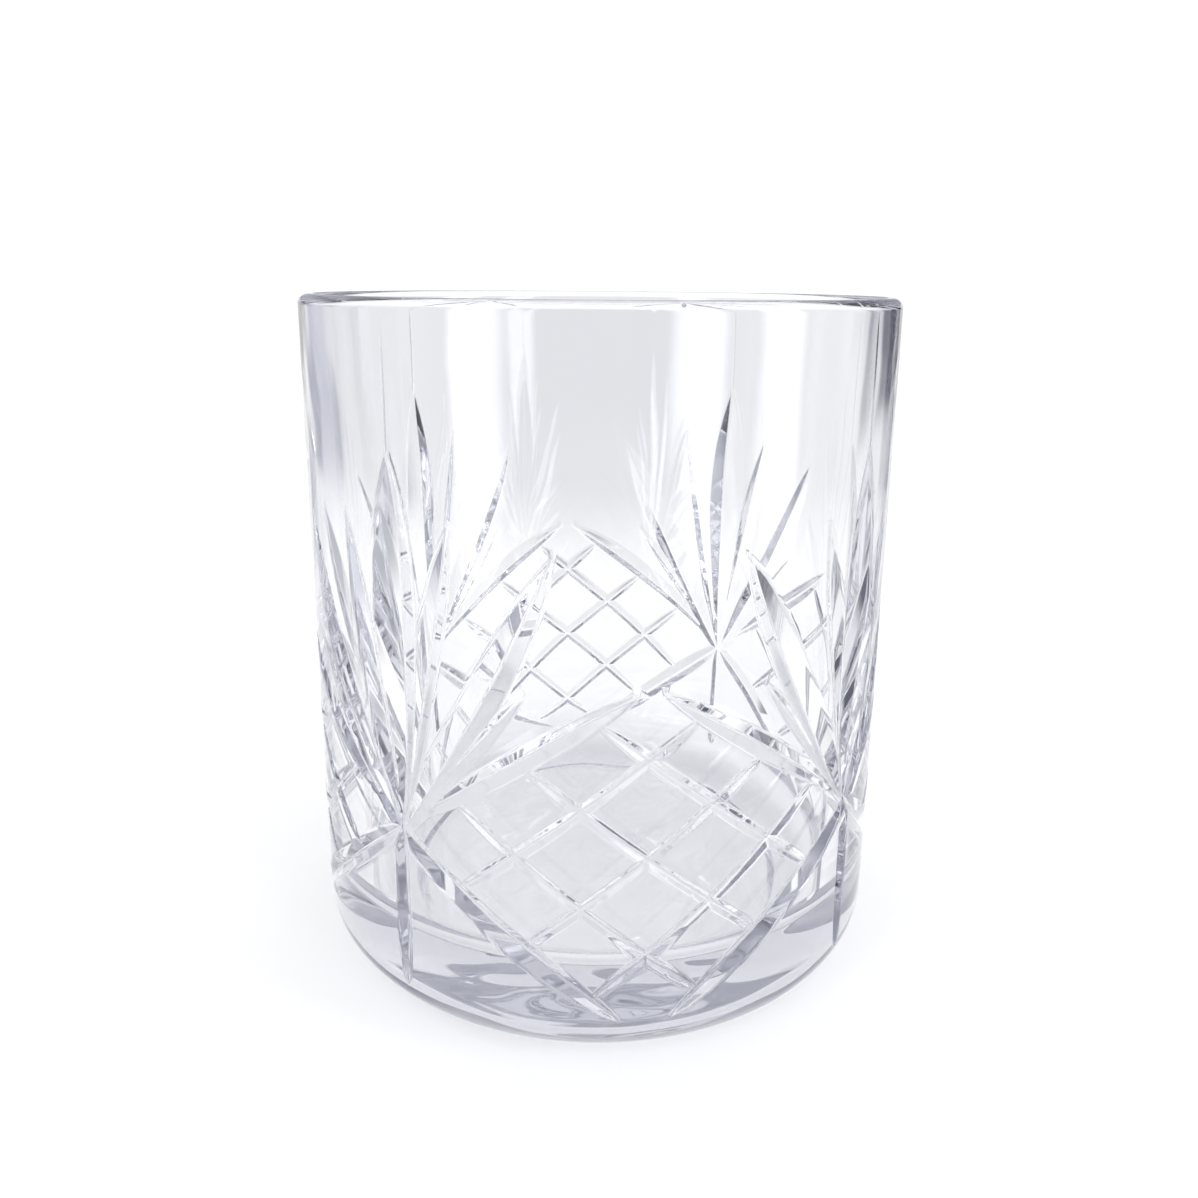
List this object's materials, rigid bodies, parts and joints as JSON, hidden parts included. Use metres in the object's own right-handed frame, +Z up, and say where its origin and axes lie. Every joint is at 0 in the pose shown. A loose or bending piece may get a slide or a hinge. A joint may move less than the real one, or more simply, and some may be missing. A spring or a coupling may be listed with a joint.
{
  "type": "whiskey tumbler",
  "caption": "Low, heavy pressed-glass tumbler with a thick base, a smooth rim band, and leaf fans over hatched diamond panels round the lower wall.",
  "frame": {"origin": "middle of the foot, on the plane that the glass stands on", "axes": "+Z up the axis of the glass; the middles of the hatched panels face +X, -X, +Y and -Y, and the fans stand on the diagonals"},
  "size_m": [0.0826, 0.0826, 0.0915],
  "materials": {
    "clear_glass": "clear, fire-polished"
  },
  "bodies": {
    "root": {"tumbler": "clear_glass"}
  },
  "joints": []
}
